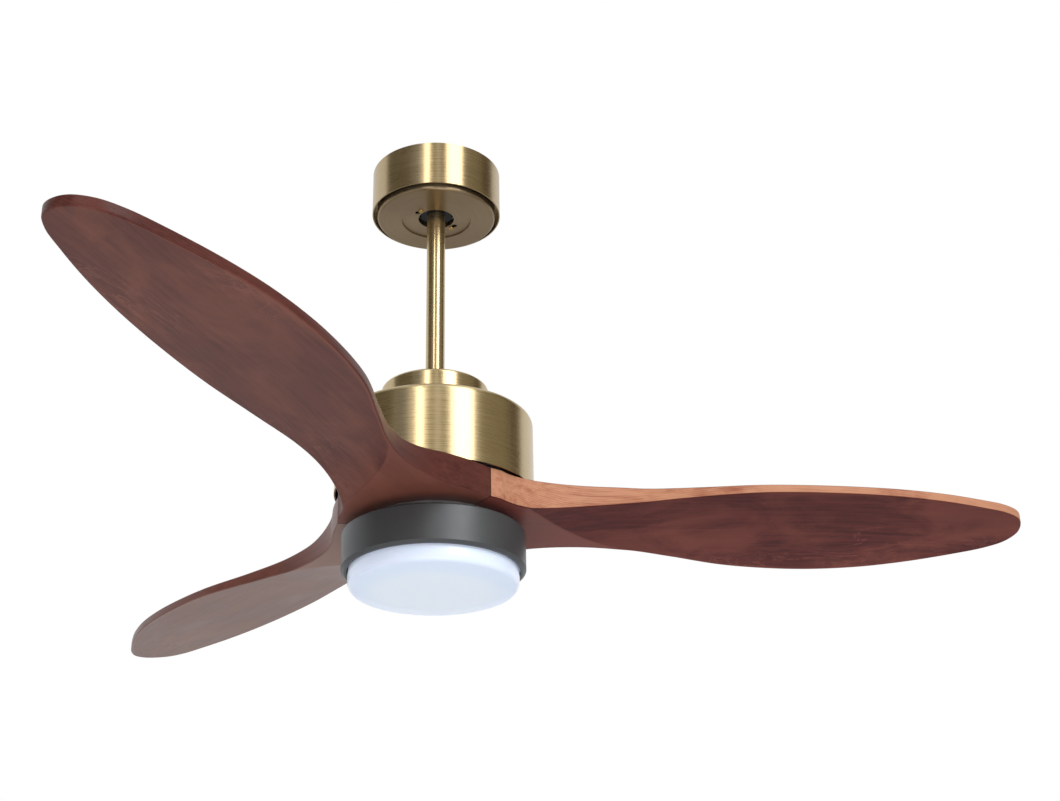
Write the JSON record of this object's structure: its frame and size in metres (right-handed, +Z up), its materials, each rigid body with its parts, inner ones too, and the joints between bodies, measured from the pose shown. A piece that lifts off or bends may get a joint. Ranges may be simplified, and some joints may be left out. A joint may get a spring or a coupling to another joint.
{
  "type": "ceiling fan with light",
  "caption": "Ceiling fan with carved wooden blades on a brushed brass motor, hung by a downrod from a ball in a round canopy, with a drum light beneath.",
  "frame": {"origin": "middle of the ceiling bracket's top face, which lies against the ceiling", "axes": "+Z up towards the ceiling along the fan axis, +X along blade_1"},
  "size_m": [1.0203, 1.1535, 0.5146],
  "materials": {
    "antique_brass": "brushed antique brass",
    "yellow_brass": "bright turned brass",
    "zinc_steel": "zinc plated",
    "black_plastic": "glossy black",
    "rubber": "matte black",
    "white_plastic": "moulded white",
    "laminated_steel": "laminated",
    "copper": "enamelled copper wire",
    "circuit_board": "green board",
    "bearing_steel": "ground and polished",
    "cast_aluminium": "as cast",
    "magnet": "sintered",
    "walnut_wood": "walnut stain under a satin lacquer",
    "gunmetal_paint": "satin gunmetal",
    "white_board": "white solder mask",
    "led_yellow": "phosphor",
    "opal": "satin opal"
  },
  "bodies": {
    "ceiling": {"ceiling_bracket": "zinc_steel", "receiver_module": "black_plastic", "terminal_block": "white_plastic", "canopy_shell": "antique_brass", "canopy_dish": "antique_brass", "canopy_screws": "yellow_brass"},
    "swing_pin": {"ball_pin": "zinc_steel"},
    "hanging_body": {"downrod": "antique_brass", "coupling_cover": "antique_brass", "motor_housing": "antique_brass", "rod_coupling": "zinc_steel", "coupling_pin": "zinc_steel", "coupling_clip": "zinc_steel", "coupling_set_screws": "zinc_steel", "motor_bolts": "zinc_steel", "stator_shaft": "zinc_steel", "light_nut": "zinc_steel", "led_posts": "zinc_steel", "led_screws": "zinc_steel", "control_posts": "zinc_steel", "hanger_ball": "black_plastic", "cover_grommet": "rubber", "led_driver": "white_plastic", "stator_core": "laminated_steel", "stator_windings": "copper", "control_board": "circuit_board", "upper_bearing_inner_race": "bearing_steel", "lower_bearing_inner_race": "bearing_steel", "light_pan": "gunmetal_paint", "led_board": "white_board", "led_chips": "led_yellow"},
    "rotor": {"rotor_can": "cast_aluminium", "rotor_magnets": "magnet", "rotor_base": "cast_aluminium", "upper_bearing_outer_race": "bearing_steel", "lower_bearing_outer_race": "bearing_steel", "upper_bearing_balls": "bearing_steel", "lower_bearing_balls": "bearing_steel", "blade_1": "walnut_wood", "blade_2": "walnut_wood", "blade_3": "walnut_wood", "blade_plate": "zinc_steel", "blade_bolts": "zinc_steel"},
    "light_diffuser": {"diffuser": "opal"}
  },
  "joints": [
    {"name": "swing_sideways", "type": "hinge", "parent": "ceiling", "child": "swing_pin", "pos_m": [0, 0, -0.038], "axis": [0, 1, 0], "range_deg": [-12, 12]},
    {"name": "swing_lengthways", "type": "hinge", "parent": "swing_pin", "child": "hanging_body", "pos_m": [0, 0, -0.038], "axis": [1, 0, 0], "range_deg": [-12, 12]},
    {"name": "blade_spin", "type": "hinge", "parent": "hanging_body", "child": "rotor", "pos_m": [0, 0, -0.42], "axis": [0, 0, 1], "continuous": true},
    {"name": "diffuser_twist", "type": "hinge", "parent": "hanging_body", "child": "light_diffuser", "pos_m": [0, 0, -0.485], "axis": [0, 0, 1], "range_deg": [0, 26]}
  ]
}
